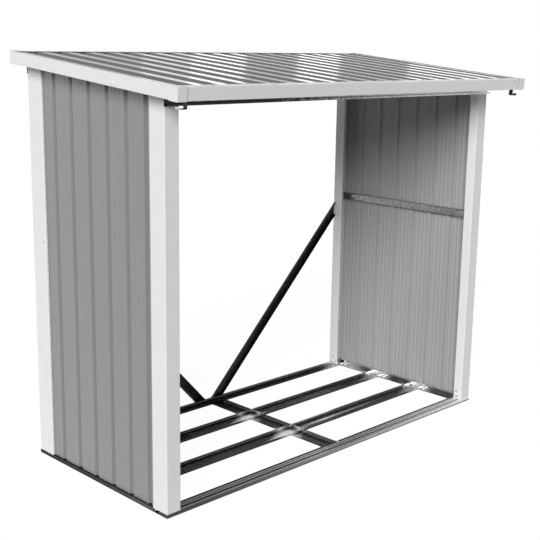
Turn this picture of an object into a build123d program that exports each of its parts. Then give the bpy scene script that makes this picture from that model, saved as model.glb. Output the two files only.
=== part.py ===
from build123d import *

import math
import os

# Sheet-steel log store: a low floor frame, four folded corner posts, ribbed side walls,
# a lean-to roof of ribbed sheets with a trim all round, and two braces across the back.
#
# Millimetres, Z up, the open front towards -Y, the origin on the ground under the middle
# of the roof. Every member is a folded or roll-formed sheet, drawn as the path of its
# outer face with the metal on the right of it.

# Overall sizes, from which every place below is worked out
BASE_WIDTH = 1610.0
BASE_DEPTH = 720.0
SIDE_OVERHANG = 55.0
FRONT_OVERHANG = 125.0
BACK_OVERHANG = 10.0
EAVES_HEIGHT = 1284.0
ROOF_SLOPE = 5.55

# Metal, the radius inside its folds and the gap left where one piece seats on another
FRAME_METAL = 1.2
SKIN_METAL = 0.8
FOLD_RADIUS = 0.8
SEAT_GAP = 0.3

# Floor frame: an outer ledge, a raised tongue that the wall skin is screwed to, a flat flange
LEDGE_HEIGHT = 12.0
LEDGE_WIDTH = 19.0
TONGUE_RISE = 6.0
TONGUE_WIDTH = 6.0
RAIL_WIDTH = 54.0
BACK_RAIL_WIDTH = 47.0
RAIL_LIP = 7.0
SILL_WIDTH = 60.0
SILL_TREAD = 44.0
SILL_GROOVE = 6.0
SILL_GROOVE_DEPTH = 5.0
SILL_BEAD_DEPTH = 2.0
FLOOR_RAIL_WIDTH = 68.0
FLOOR_RAIL_RETURN = 8.0
FLOOR_RAIL_LIP = 9.0
FLOOR_RAIL_PLACES = (254.0, 475.0)
CROSS_MEMBER_WIDTH = 60.0
CROSS_MEMBER_LIP = 7.0
CROSS_MEMBER_OFFSET = 2.0
CROSS_TAB = 14.0
TONGUE_CLEARANCE = 3.0
NOTCH_CLEARANCE = 1.0

# Corner posts
POST_INSET = 1.0
FRONT_POST_SIDE = 71.0
FRONT_POST_FACE = 54.0
BACK_POST_SIDE = 77.0
BACK_POST_FACE = 75.0
FRONT_POST_RETURN = 37.0
BACK_POST_RETURN = 47.0

# Ribbed skins of the walls and the roof
WALL_PITCH = 96.3
WALL_FIRST_RIB = 96.0
WALL_RIB_COUNT = 7
WALL_EDGE = 8.5
WALL_CREST = 14.0
WALL_RIB_RUN = 4.0
WALL_BEADS = 3
WALL_BEAD_PITCH = 19.7
WALL_BEAD_CREST = 4.0
WALL_BEAD_RUN = 3.0
WALL_BEAD_RISE = 1.2
ROOF_CREST = 34.0
ROOF_RIB_RUN = 9.0
RIB_DEPTH = 9.0
ROOF_SHEETS = 3
RIBS_PER_SHEET = 6
ROOF_SHEET_EDGE = 4.2

# Rails on the walls
MID_RAIL_HEIGHT = 784.0
MID_RAIL_WIDTH = 28.0
MID_RAIL_DEPTH = 14.0
MID_RAIL_SETBACK = 20.0
TOP_RAIL_WIDTH = 28.0
TOP_RAIL_DEPTH = 22.0
TOP_RAIL_SETBACK = 4.0

# Headers across the front and back posts
HEADER_DROP = 60.0
HEADER_FLANGE = 14.0
HEADER_TOP_FLANGE = 24.0
HEADER_LIP = 6.0
HEADER_JOINT = 191.0
BACK_HEADER_FLANGE = 5.0

# Roof edge trim
TRIM_HEIGHT = 40.0
TRIM_HEM = 4.0
TRIM_DEPTH = 22.0
FRONT_TRIM_FLANGE = 32.0
BACK_TRIM_DEPTH = 9.0
BACK_TRIM_FLANGE = 12.0
SHEET_SETBACK = 3.0
CREST_UNDER_TRIM = 2.0
TRIM_JOINT = -41.0
CAP_LEG = 34.0
CAP_METAL = 1.2
CAP_BELOW = 1.0
CAP_ABOVE = 2.0
CAP_ROUND = 6.0
CAP_NOTCH = 3.5
CLIP_WIDTH = 30.0
CLIP_OUT = 36.0
CLIP_DROP = 24.0
CLIP_LENGTH = 16.0
CLIP_LIP = 7.0

# Back braces
BRACE_WIDTH = 38.0
BRACE_DEPTH = 12.0
BRACE_FOOT = 44.0
BRACE_SHIFT = -16.0
BRACE_HEAD_HEIGHT = 730.0

HALF_WIDTH = BASE_WIDTH / 2
HALF_ROOF = HALF_WIDTH + SIDE_OVERHANG
ROOF_DEPTH = FRONT_OVERHANG + BASE_DEPTH + BACK_OVERHANG
SLOPE = math.radians(ROOF_SLOPE)
CAP_LEAN = (TRIM_HEIGHT + CAP_ABOVE - CAP_BELOW) * math.sin(SLOPE)
EAVES_Y = (CAP_LEAN - ROOF_DEPTH) / 2
FRONT_Y = EAVES_Y + FRONT_OVERHANG
BACK_Y = FRONT_Y + BASE_DEPTH
ROOF_LENGTH = ROOF_DEPTH / math.cos(SLOPE)
CREST_TOP = TRIM_HEIGHT - CREST_UNDER_TRIM
PAN_TOP = CREST_TOP - RIB_DEPTH
PAN_SEAT = PAN_TOP - SKIN_METAL - SEAT_GAP
CREST_SEAT = CREST_TOP - SKIN_METAL - SEAT_GAP
UP_SLOPE = Vector(0, math.cos(SLOPE), math.sin(SLOPE))
OFF_ROOF = Vector(0, -math.sin(SLOPE), math.cos(SLOPE))
EAVES = Vector(0, EAVES_Y, EAVES_HEIGHT)
TONGUE_TOP = LEDGE_HEIGHT + TONGUE_RISE
SKIN_FACE = LEDGE_WIDTH - SEAT_GAP - SKIN_METAL - RIB_DEPTH


def roof_height(y, lift):
    """Height at a place y of the plane that lies lift above the lower edge of the trim."""
    return EAVES_HEIGHT + (y - EAVES_Y) * math.tan(SLOPE) + lift / math.cos(SLOPE)


def inner_face(path, metal):
    """Corners of the face that lies a metal thickness to the right of a path."""
    corners = [Vector(*corner) for corner in path]
    ways = [(there - here).normalized() for here, there in zip(corners, corners[1:])]
    rights = [Vector(way.Y, -way.X) for way in ways]
    inner = [corners[0] + rights[0] * metal]
    for corner, before, after in zip(corners[1:], rights, rights[1:]):
        inner.append(corner + (before + after) * (metal / (1 + before.dot(after))))
    return inner + [corners[-1] + rights[-1] * metal]


def fold_radii(path, right_turn, left_turn):
    """Radius at every corner of a path, by the way it turns there, and none at its ends."""
    corners = [Vector(*corner) for corner in path]
    ways = [there - here for here, there in zip(corners, corners[1:])]
    turns = [before.cross(after).Z for before, after in zip(ways, ways[1:])]
    return [0] + [right_turn if turn < 0 else left_turn for turn in turns] + [0]


def folded(path, plane, length, metal=FRAME_METAL, fold=FOLD_RADIUS):
    """A length of folded sheet, its outer face along the path and its metal on the right."""
    corners = [*path, *reversed(inner_face(path, metal))]
    radii = fold_radii(path, fold + metal, fold) + fold_radii(path, fold, fold + metal)[::-1]
    with BuildPart() as member:
        with BuildSketch(plane):
            with BuildLine():
                if fold:
                    FilletPolyline(*corners, radius=radii, close=True)
                else:
                    Polyline(*corners, close=True)
            make_face()
        extrude(amount=length)
    return member


def mirrored(piece):
    """The same piece handed for the right side."""
    with BuildPart() as other:
        mirror(piece.part, about=Plane.YZ)
    return other


def save(piece, name):
    """Label a finished piece and write its file."""
    piece.part.label = name
    export_step(piece.part, f"parts/{name}.step")


def rib(place, crest, run, rise):
    """Corners of one rib, centred on a place."""
    return [
        (place - crest / 2 - run, 0),
        (place - crest / 2, rise),
        (place + crest / 2, rise),
        (place + crest / 2 + run, 0),
    ]


def ribbed_path(start, end, level, ribs):
    """Path of a ribbed sheet whose two edges lie at one level, with the ribs between them."""
    corners = [corner for group in ribs for corner in group]
    inside = [corner for corner in corners if start + SEAT_GAP < corner[0] < end - SEAT_GAP]
    return [(start, level)] + sorted(inside) + [(end, level)]


# Sections of the floor frame, inwards and upwards from the outer foot
def rail_section(width):
    """Edge rail: ledge, raised tongue, and a flat flange with a lip."""
    return [
        (0, 0),
        (0, LEDGE_HEIGHT),
        (LEDGE_WIDTH, LEDGE_HEIGHT),
        (LEDGE_WIDTH, TONGUE_TOP),
        (LEDGE_WIDTH + TONGUE_WIDTH, TONGUE_TOP),
        (LEDGE_WIDTH + TONGUE_WIDTH, FRAME_METAL),
        (width - FRAME_METAL, FRAME_METAL),
        (width - FRAME_METAL, RAIL_LIP),
    ]


GROOVE_START = 15.0
BEAD_START = 31.0
BEAD_WIDTH = 3.0
SILL_SECTION = [
    (0, 0),
    (0, LEDGE_HEIGHT),
    (GROOVE_START, LEDGE_HEIGHT),
    (GROOVE_START, LEDGE_HEIGHT - SILL_GROOVE_DEPTH),
    (GROOVE_START + SILL_GROOVE, LEDGE_HEIGHT - SILL_GROOVE_DEPTH),
    (GROOVE_START + SILL_GROOVE, LEDGE_HEIGHT),
    (BEAD_START, LEDGE_HEIGHT),
    (BEAD_START + BEAD_WIDTH / 2, LEDGE_HEIGHT - SILL_BEAD_DEPTH),
    (BEAD_START + BEAD_WIDTH, LEDGE_HEIGHT),
    (SILL_TREAD, LEDGE_HEIGHT),
    (SILL_TREAD, FRAME_METAL),
    (SILL_WIDTH - FRAME_METAL, FRAME_METAL),
    (SILL_WIDTH - FRAME_METAL, RAIL_LIP),
]


def tray_section(width, lip, rise, back_return):
    """Floor member: an upstand whose top turns back over the flat flange, and a low lip."""
    return [
        (width - back_return, rise),
        (width, rise),
        (width, 0),
        (0, 0),
        (0, lip),
    ]


def towards_right(x, y, z=0.0):
    """Section plane of a member that runs to the right, drawn backwards and up."""
    return Plane(origin=(x, y, z), x_dir=(0, 1, 0), z_dir=(1, 0, 0))


def towards_left(x, y, z=0.0):
    """Section plane of a member that runs to the left, drawn forwards and up."""
    return Plane(origin=(x, y, z), x_dir=(0, -1, 0), z_dir=(-1, 0, 0))


def towards_front(x, y, z=0.0):
    """Section plane of a member that runs forwards, drawn to the right and up."""
    return Plane(origin=(x, y, z), x_dir=(1, 0, 0), z_dir=(0, -1, 0))


def down_roof(x, along, lift=0.0):
    """Section plane of a member that runs down the slope, drawn to the right and off the roof."""
    place = EAVES + UP_SLOPE * along + OFF_ROOF * lift + Vector(x, 0, 0)
    return Plane(origin=place, x_dir=(1, 0, 0), z_dir=UP_SLOPE * -1)


def roof_plane(lift):
    """Plane parallel to the roof, facing up."""
    return Plane(origin=EAVES + OFF_ROOF * lift, x_dir=(1, 0, 0), z_dir=OFF_ROOF)


os.makedirs("parts", exist_ok=True)

# Floor frame: the sill and the back rail run the full width, with their ends folded shut
with BuildPart() as base_front_sill:
    add(folded(SILL_SECTION, towards_right(-HALF_WIDTH, FRONT_Y), BASE_WIDTH).part)
    for place in (-HALF_WIDTH, HALF_WIDTH - FRAME_METAL):
        with BuildSketch(towards_right(place, FRONT_Y)):
            Rectangle(SILL_TREAD, LEDGE_HEIGHT, align=(Align.MIN, Align.MIN))
        extrude(amount=FRAME_METAL)
save(base_front_sill, "base_front_sill")

# The tongue of the back rail stops where the back posts stand on its ledge
TONGUE_END = POST_INSET + BACK_POST_FACE + TONGUE_CLEARANCE
with BuildPart() as base_back_rail:
    add(folded(rail_section(BACK_RAIL_WIDTH), towards_left(HALF_WIDTH, BACK_Y), BASE_WIDTH).part)
    for side in (-1, 1):
        with BuildSketch(Plane.XY.offset(LEDGE_HEIGHT)):
            with Locations((side * (HALF_WIDTH - TONGUE_END / 2), BACK_Y - BACK_RAIL_WIDTH / 2)):
                Rectangle(TONGUE_END, BACK_RAIL_WIDTH)
        extrude(amount=TONGUE_RISE, mode=Mode.SUBTRACT)
    for place in (-HALF_WIDTH + FRAME_METAL, HALF_WIDTH):
        with BuildSketch(towards_left(place, BACK_Y)):
            Rectangle(BACK_RAIL_WIDTH, LEDGE_HEIGHT, align=(Align.MIN, Align.MIN))
        extrude(amount=FRAME_METAL)
save(base_back_rail, "base_back_rail")

RAIL_START = BACK_Y - BACK_RAIL_WIDTH - SEAT_GAP
RAIL_END = FRONT_Y + SILL_WIDTH + SEAT_GAP
FLOOR_RAIL_GAP = FLOOR_RAIL_WIDTH + 2 * NOTCH_CLEARANCE
FLOOR_RAIL_SEAT = FRAME_METAL + SEAT_GAP
FLOOR_RAIL_RISE = LEDGE_HEIGHT - FLOOR_RAIL_SEAT


def lip_notches(x):
    """Blocks that open the lip standing at x where the floor rails pass over the flange."""
    with BuildPart() as notches:
        with BuildSketch(Plane.XY.offset(FRAME_METAL)):
            with Locations(*[(x, FRONT_Y + place) for place in FLOOR_RAIL_PLACES]):
                Rectangle(4 * FRAME_METAL, FLOOR_RAIL_GAP)
        extrude(amount=RAIL_LIP)
    return notches.part


with BuildPart() as base_left_rail:
    side_rail = folded(
        rail_section(RAIL_WIDTH), towards_front(-HALF_WIDTH, RAIL_START), RAIL_START - RAIL_END
    )
    add(side_rail.part)
    add(lip_notches(-HALF_WIDTH + RAIL_WIDTH), mode=Mode.SUBTRACT)
save(base_left_rail, "base_left_rail")
save(mirrored(base_left_rail), "base_right_rail")

# The cross member laps the sill with a tongue of its turned-over top
CROSS_LEFT = CROSS_MEMBER_OFFSET - CROSS_MEMBER_WIDTH / 2
CROSS_RIGHT = CROSS_LEFT + CROSS_MEMBER_WIDTH
CROSS_RISE = LEDGE_HEIGHT + SEAT_GAP + FRAME_METAL
with BuildPart() as base_cross_member:
    add(
        folded(
            tray_section(CROSS_MEMBER_WIDTH, CROSS_MEMBER_LIP, CROSS_RISE, FLOOR_RAIL_RETURN),
            towards_front(CROSS_LEFT, RAIL_START),
            RAIL_START - RAIL_END,
        ).part
    )
    add(lip_notches(CROSS_LEFT), mode=Mode.SUBTRACT)
    with BuildSketch(Plane.XY.offset(CROSS_RISE - FRAME_METAL)):
        with Locations((CROSS_RIGHT, RAIL_END)):
            Rectangle(
                FLOOR_RAIL_RETURN,
                SILL_WIDTH - SILL_TREAD + SEAT_GAP + CROSS_TAB,
                align=(Align.MAX, Align.MAX),
            )
    extrude(amount=FRAME_METAL)
save(base_cross_member, "base_cross_member")

# Floor rails: the left ones run in under the turned-over top, the right ones butt its back
floor_section = tray_section(
    FLOOR_RAIL_WIDTH, FLOOR_RAIL_LIP, FLOOR_RAIL_RISE, FLOOR_RAIL_RETURN
)
outer_end = HALF_WIDTH - LEDGE_WIDTH - TONGUE_WIDTH - SEAT_GAP
left_end = CROSS_RIGHT - FRAME_METAL - SEAT_GAP
right_start = CROSS_RIGHT + SEAT_GAP
for place, row in zip(FLOOR_RAIL_PLACES, ("front", "back")):
    front_edge = FRONT_Y + place - FLOOR_RAIL_WIDTH / 2
    left_plane = towards_right(-outer_end, front_edge, FLOOR_RAIL_SEAT)
    right_plane = towards_right(right_start, front_edge, FLOOR_RAIL_SEAT)
    save(folded(floor_section, left_plane, left_end + outer_end), f"floor_rail_{row}_left")
    save(folded(floor_section, right_plane, outer_end - right_start), f"floor_rail_{row}_right")

# Corner posts stand on the ledge and are cut to the slope under the roof sheets
POST_BOTTOM = LEDGE_HEIGHT + SEAT_GAP
ABOVE_ROOF = roof_height(BACK_Y, TRIM_HEIGHT)
POST_END = SKIN_FACE - POST_INSET - SEAT_GAP


def corner_post(plane, side, face, depth):
    """Folded post: a face and a side, a deep return behind the face, a short one at the wall."""
    path = [
        (face, depth),
        (face, 0),
        (0, 0),
        (0, side),
        (POST_END, side),
    ]
    with BuildPart() as post:
        add(folded(path, plane, ABOVE_ROOF - POST_BOTTOM).part)
        split(bisect_by=roof_plane(PAN_SEAT), keep=Keep.BOTTOM)
    return post


front_corner = Plane(
    origin=(-HALF_WIDTH + POST_INSET, FRONT_Y + POST_INSET, POST_BOTTOM),
    x_dir=(1, 0, 0),
    z_dir=(0, 0, 1),
)
back_corner = Plane(
    origin=(-HALF_WIDTH + POST_INSET, BACK_Y - POST_INSET, ABOVE_ROOF),
    x_dir=(1, 0, 0),
    z_dir=(0, 0, -1),
)
post_front_left = corner_post(front_corner, FRONT_POST_SIDE, FRONT_POST_FACE, FRONT_POST_RETURN)
post_back_left = corner_post(back_corner, BACK_POST_SIDE, BACK_POST_FACE, BACK_POST_RETURN)
save(post_front_left, "post_front_left")
save(mirrored(post_front_left), "post_front_right")
save(post_back_left, "post_back_left")
save(mirrored(post_back_left), "post_back_right")

# Wall skins: ribs standing inwards against the tongue, beads in the pans, one sheet turned round
WALL_RIBS = [
    rib(WALL_FIRST_RIB + WALL_PITCH * number, WALL_CREST, WALL_RIB_RUN, RIB_DEPTH)
    for number in range(WALL_RIB_COUNT)
]
WALL_PANS = [WALL_FIRST_RIB + WALL_PITCH * (pan - 0.5) for pan in range(WALL_RIB_COUNT + 1)]
WALL_BEAD_PLACES = [
    WALL_BEAD_PITCH * (bead - (WALL_BEADS - 1) / 2) for bead in range(WALL_BEADS)
]
WALL_PROFILE = WALL_RIBS + [
    rib(pan + place, WALL_BEAD_CREST, WALL_BEAD_RUN, WALL_BEAD_RISE)
    for pan in WALL_PANS
    for place in WALL_BEAD_PLACES
]


def wall_panel(profile):
    """Ribbed skin of the left wall, with its ribs and beads measured from the front."""
    section = ribbed_path(WALL_EDGE, BASE_DEPTH - WALL_EDGE, 0, profile)
    path = [(SKIN_FACE + rise, along) for along, rise in section]
    plane = Plane(origin=(-HALF_WIDTH, FRONT_Y, POST_BOTTOM), x_dir=(1, 0, 0), z_dir=(0, 0, 1))
    with BuildPart() as panel:
        add(folded(path, plane, ABOVE_ROOF - POST_BOTTOM, SKIN_METAL, 0).part)
        split(bisect_by=roof_plane(PAN_SEAT), keep=Keep.BOTTOM)
    return panel


turned_profile = [
    [(BASE_DEPTH - along, rise) for along, rise in corners] for corners in WALL_PROFILE
]
save(wall_panel(WALL_PROFILE), "wall_panel_left")
save(mirrored(wall_panel(turned_profile)), "wall_panel_right")


def channel(depth, width):
    """Channel with its web away from the wall."""
    return [
        (0, width),
        (depth, width),
        (depth, 0),
        (0, 0),
    ]


# A rail at half height and one under the roof tie each wall's ribs together
BEHIND_POST = POST_INSET + FRAME_METAL + SEAT_GAP
mid_rail_left = folded(
    channel(MID_RAIL_DEPTH, MID_RAIL_WIDTH),
    towards_front(
        -HALF_WIDTH + LEDGE_WIDTH,
        BACK_Y - MID_RAIL_SETBACK,
        MID_RAIL_HEIGHT - MID_RAIL_WIDTH / 2,
    ),
    BASE_DEPTH - MID_RAIL_SETBACK - BEHIND_POST,
)
save(mid_rail_left, "mid_rail_left")
save(mirrored(mid_rail_left), "mid_rail_right")

top_rail_start = (FRONT_OVERHANG + BEHIND_POST + TOP_RAIL_SETBACK) / math.cos(SLOPE)
top_rail_end = (FRONT_OVERHANG + BASE_DEPTH - BEHIND_POST - TOP_RAIL_SETBACK) / math.cos(SLOPE)
top_rail_left = folded(
    channel(TOP_RAIL_DEPTH, TOP_RAIL_WIDTH),
    down_roof(-HALF_WIDTH + LEDGE_WIDTH, top_rail_end, PAN_SEAT - TOP_RAIL_WIDTH),
    top_rail_end - top_rail_start,
)
save(top_rail_left, "top_rail_left")
save(mirrored(top_rail_left), "top_rail_right")

# Headers on the outer faces of the posts, their top flanges in the plane of the roof pans
WEB = POST_INSET - SEAT_GAP
header_bottom = roof_height(FRONT_Y, PAN_SEAT) - HEADER_DROP
front_header_path = [
    (-HEADER_TOP_FLANGE, roof_height(FRONT_Y - HEADER_TOP_FLANGE, PAN_SEAT)),
    (WEB, roof_height(FRONT_Y + WEB, PAN_SEAT)),
    (WEB, header_bottom),
    (-HEADER_FLANGE, header_bottom),
    (-HEADER_FLANGE, header_bottom + HEADER_LIP),
]
left_length = HALF_WIDTH + HEADER_JOINT
right_length = HALF_WIDTH - HEADER_JOINT - SEAT_GAP
header_front_left = folded(front_header_path, towards_right(-HALF_WIDTH, FRONT_Y), left_length)
header_front_right = folded(
    front_header_path, towards_right(HEADER_JOINT + SEAT_GAP, FRONT_Y), right_length
)
save(header_front_left, "header_front_left")
save(header_front_right, "header_front_right")

back_header_bottom = roof_height(BACK_Y, PAN_SEAT) - HEADER_DROP
back_header_path = [
    (-BACK_HEADER_FLANGE, roof_height(BACK_Y + BACK_HEADER_FLANGE, PAN_SEAT)),
    (WEB, roof_height(BACK_Y - WEB, PAN_SEAT)),
    (WEB, back_header_bottom),
    (-BACK_HEADER_FLANGE, back_header_bottom),
]
header_back_left = folded(
    back_header_path, towards_left(HEADER_JOINT, BACK_Y), left_length
)
header_back_right = folded(back_header_path, towards_left(HALF_WIDTH, BACK_Y), right_length)
save(header_back_left, "header_back_left")
save(header_back_right, "header_back_right")

# Braces stand on the back ledge beside the middle and butt the returns of the back posts
BRACE_END = HALF_WIDTH - POST_INSET - BACK_POST_FACE - SEAT_GAP
BRACE_BACK = BACK_Y - POST_INSET - FRAME_METAL
BRACE_SECTION = [
    (BRACE_WIDTH / 2, BRACE_DEPTH),
    (BRACE_WIDTH / 2, 0),
    (-BRACE_WIDTH / 2, 0),
    (-BRACE_WIDTH / 2, BRACE_DEPTH),
]


def brace(foot):
    """Channel that leans from a foot beside the middle to the right back post."""
    run = BRACE_END - foot
    rise = BRACE_HEAD_HEIGHT - POST_BOTTOM
    angle = math.atan2(rise, run)
    way = Vector(math.cos(angle), 0, math.sin(angle))
    across = Vector(-math.sin(angle), 0, math.cos(angle))
    start = Vector(foot, BRACE_BACK, POST_BOTTOM) - way * BRACE_WIDTH
    length = math.hypot(run, rise) + 2 * BRACE_WIDTH
    with BuildPart() as channel_piece:
        add(folded(BRACE_SECTION, Plane(origin=start, x_dir=across, z_dir=way), length).part)
        split(bisect_by=Plane.XY.offset(POST_BOTTOM), keep=Keep.TOP)
        split(bisect_by=Plane.YZ.offset(BRACE_END), keep=Keep.BOTTOM)
    return channel_piece


save(brace(BRACE_FOOT + BRACE_SHIFT), "brace_right")
save(mirrored(brace(BRACE_FOOT - BRACE_SHIFT)), "brace_left")

# Roof sheets, which meet on the crowns of their ribs
OUTER_EDGE = HALF_ROOF - ROOF_SHEET_EDGE
ROOF_PITCH = (2 * OUTER_EDGE - ROOF_CREST) / (ROOF_SHEETS * RIBS_PER_SHEET)
SHEET_WIDTH = RIBS_PER_SHEET * ROOF_PITCH
for sheet, name in enumerate(("left", "middle", "right")):
    sheet_left = (sheet - ROOF_SHEETS / 2) * SHEET_WIDTH
    sheet_right = sheet_left + SHEET_WIDTH
    ribs = [
        rib(sheet_left + ROOF_PITCH * number, ROOF_CREST, ROOF_RIB_RUN, RIB_DEPTH)
        for number in range(RIBS_PER_SHEET + 1)
    ]
    start = sheet_left + SEAT_GAP if sheet > 0 else -OUTER_EDGE
    end = sheet_right if sheet < ROOF_SHEETS - 1 else OUTER_EDGE
    roof_sheet = folded(
        ribbed_path(start, end, RIB_DEPTH, ribs),
        down_roof(0, ROOF_LENGTH - SHEET_SETBACK, PAN_TOP),
        ROOF_LENGTH - 2 * SHEET_SETBACK,
        SKIN_METAL,
        0,
    )
    save(roof_sheet, f"roof_sheet_{name}")


def trim_section(depth, seat, flange):
    """Roof trim: a face, a lower flange with a leg up to the sheet, and a turned-in top."""
    return [
        (depth, seat),
        (depth, 0),
        (0, 0),
        (0, TRIM_HEIGHT),
        (flange, TRIM_HEIGHT),
    ]


# Roof trim: the side pieces run the whole slope, the front and back ones fit between them
trim_side_left = folded(
    trim_section(TRIM_DEPTH, CREST_SEAT, TRIM_HEM),
    down_roof(-HALF_ROOF, ROOF_LENGTH),
    ROOF_LENGTH,
)
save(trim_side_left, "trim_side_left")
save(mirrored(trim_side_left), "trim_side_right")

trim_end = HALF_ROOF - TRIM_DEPTH - SEAT_GAP
front_trim_path = trim_section(TRIM_DEPTH, PAN_SEAT, FRONT_TRIM_FLANGE)
front_trim_left = Plane(origin=EAVES - Vector(trim_end, 0, 0), x_dir=UP_SLOPE, z_dir=(1, 0, 0))
front_trim_right = front_trim_left.offset(trim_end + TRIM_JOINT + SEAT_GAP)
save(folded(front_trim_path, front_trim_left, trim_end + TRIM_JOINT), "trim_front_left")
save(
    folded(front_trim_path, front_trim_right, trim_end - TRIM_JOINT - SEAT_GAP),
    "trim_front_right",
)

top_edge = EAVES + UP_SLOPE * ROOF_LENGTH
back_trim_path = [
    (BACK_TRIM_DEPTH, 0),
    (0, 0),
    (0, TRIM_HEIGHT),
    (BACK_TRIM_FLANGE, TRIM_HEIGHT),
]
back_trim_right = Plane(
    origin=top_edge + Vector(trim_end, 0, 0), x_dir=UP_SLOPE * -1, z_dir=(-1, 0, 0)
)
back_trim_left = back_trim_right.offset(trim_end - TRIM_JOINT + SEAT_GAP)
save(folded(back_trim_path, back_trim_right, trim_end - TRIM_JOINT), "trim_back_right")
save(folded(back_trim_path, back_trim_left, trim_end + TRIM_JOINT - SEAT_GAP), "trim_back_left")

# Corner caps round the ends of the trim, with rounded upper corners and a notched fold
CAP_OVER = CAP_METAL + SEAT_GAP
CAP_HEIGHT = TRIM_HEIGHT + CAP_BELOW + CAP_ABOVE


def corner_cap(plane, top):
    """Angle that wraps one roof corner, seen from the corner, its top this far along it."""
    path = [
        (CAP_LEG, -CAP_OVER),
        (-CAP_OVER, -CAP_OVER),
        (-CAP_OVER, CAP_LEG),
    ]
    fold_middle = CAP_METAL / 2 - CAP_OVER
    with BuildPart() as cap:
        add(folded(path, plane, CAP_HEIGHT, CAP_METAL).part)
        plate_edges = cap.edges().filter_by(GeomType.LINE).sort_by(SortBy.LENGTH)[:4]
        fillet(plate_edges.sort_by(Axis.Z)[-2:], CAP_ROUND)
        with Locations(plane.location * Location((fold_middle, fold_middle, top))):
            Box(2 * CAP_NOTCH, 2 * CAP_NOTCH, 2 * CAP_NOTCH, mode=Mode.SUBTRACT)
    return cap


front_cap_plane = Plane(
    origin=EAVES - OFF_ROOF * CAP_BELOW - Vector(HALF_ROOF, 0, 0), x_dir=(1, 0, 0), z_dir=OFF_ROOF
)
back_cap_plane = Plane(
    origin=top_edge + OFF_ROOF * (CAP_HEIGHT - CAP_BELOW) - Vector(HALF_ROOF, 0, 0),
    x_dir=(1, 0, 0),
    z_dir=OFF_ROOF * -1,
)
for row, plane, top in (("front", front_cap_plane, CAP_HEIGHT), ("back", back_cap_plane, 0)):
    cap_left = corner_cap(plane, top)
    save(cap_left, f"corner_cap_{row}_left")
    save(mirrored(cap_left), f"corner_cap_{row}_right")

# Lipped clips under the ends of the front trim
clip_path = [
    (0, CLIP_DROP),
    (CLIP_WIDTH, CLIP_DROP),
    (CLIP_WIDTH, 0),
    (0, 0),
    (0, CLIP_LIP),
]
clip_left = folded(
    clip_path,
    down_roof(-HALF_WIDTH - CLIP_OUT, TRIM_DEPTH + CLIP_LENGTH / 2, -CLIP_DROP - SEAT_GAP),
    CLIP_LENGTH,
)
save(clip_left, "front_clip_left")
save(mirrored(clip_left), "front_clip_right")
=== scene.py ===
import math

import bpy
from bpy.props import FloatProperty, FloatVectorProperty, IntProperty, PointerProperty
from mathutils import Matrix, Vector


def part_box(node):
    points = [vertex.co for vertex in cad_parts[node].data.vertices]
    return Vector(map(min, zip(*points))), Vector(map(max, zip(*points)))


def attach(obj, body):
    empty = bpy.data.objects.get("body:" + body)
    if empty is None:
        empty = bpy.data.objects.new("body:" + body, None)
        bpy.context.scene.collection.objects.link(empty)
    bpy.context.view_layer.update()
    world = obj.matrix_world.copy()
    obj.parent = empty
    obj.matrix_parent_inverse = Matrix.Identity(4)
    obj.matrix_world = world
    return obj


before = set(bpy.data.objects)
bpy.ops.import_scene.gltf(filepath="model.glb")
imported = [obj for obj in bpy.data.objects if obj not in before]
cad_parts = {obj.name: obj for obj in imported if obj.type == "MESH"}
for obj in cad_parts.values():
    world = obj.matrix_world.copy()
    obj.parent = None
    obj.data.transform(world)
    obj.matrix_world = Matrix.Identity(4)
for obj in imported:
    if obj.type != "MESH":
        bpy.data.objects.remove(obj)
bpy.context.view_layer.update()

bl_info = {
    "name": "Log Store Finish",
    "version": (1, 0, 0),
    "blender": (4, 5, 0),
    "location": "3D View > Sidebar > Log Store",
    "description": "Coatings, zinc, screws and studio for a sheet-steel log store",
    "category": "Object",
}

# Corners of the solids that the finishes, the screws and the camera are set out from
SILL_LOW, SILL_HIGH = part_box("base_front_sill")
CROSS_LOW, CROSS_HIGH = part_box("base_cross_member")
FRONT_RAIL_LOW, FRONT_RAIL_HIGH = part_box("floor_rail_front_right")
BACK_RAIL_LOW, BACK_RAIL_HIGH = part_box("floor_rail_back_right")
SIDE_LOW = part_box("base_right_rail")[0]
REAR_LOW, REAR_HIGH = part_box("base_back_rail")
TRIM_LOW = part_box("trim_front_left")[0]
CAP_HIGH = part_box("corner_cap_front_left")[1]
BASE_CORNER = Vector((SILL_LOW.x, SILL_LOW.y, 0.0))
BASE_WIDTH = SILL_HIGH.x - SILL_LOW.x

SENSOR_WIDTH = 36.0
CAMERA_REACH = 200.0

# Tall soft boxes behind the store: two headings in degrees from the camera's place, and a share
STRIPS = ((37.9, 40.6, 0.4), (40.6, 43.6, 1.0), (46.5, 48.8, 1.0), (52.6, 57.4, 0.8))
STRIP_DISTANCE = 15.0
STRIP_FOOT = 2.0
STRIP_HEIGHT = 2.4

# Strength of the plain white in the floor as it is seen, and the drift of its own colour
GLOW = 1.12
FLOOR_GRAIN = 3.0
FLOOR_DRIFT = 0.01
FLOOR_ROUGHNESS = 0.9

# Rays that look at a surface, straight, in a gloss or through glass
LOOKS = ("Is Camera Ray", "Is Glossy Ray", "Is Transmission Ray")

# White coating: fineness of its clouds and rub marks, and how far they change it
WHITE_CLOUDS = 2.2
WHITE_DRIFT = 0.02
RUB_MARKS = 6.0
RUB_STRETCH = (1.0, 1.0, 0.16)
RUB_DRIFT = 0.16
ORANGE_PEEL = 420.0
PEEL_DEPTH = 0.0004

# Small dents: fineness, the level of the noise that they start at, their slope and depth
DENTS = 48.0
DENT_STRETCH = (0.6, 1.0, 1.0)
DENT_LEVEL = 0.66
DENT_SLOPE = 6.0
DENT_DEPTH = 0.003

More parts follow.
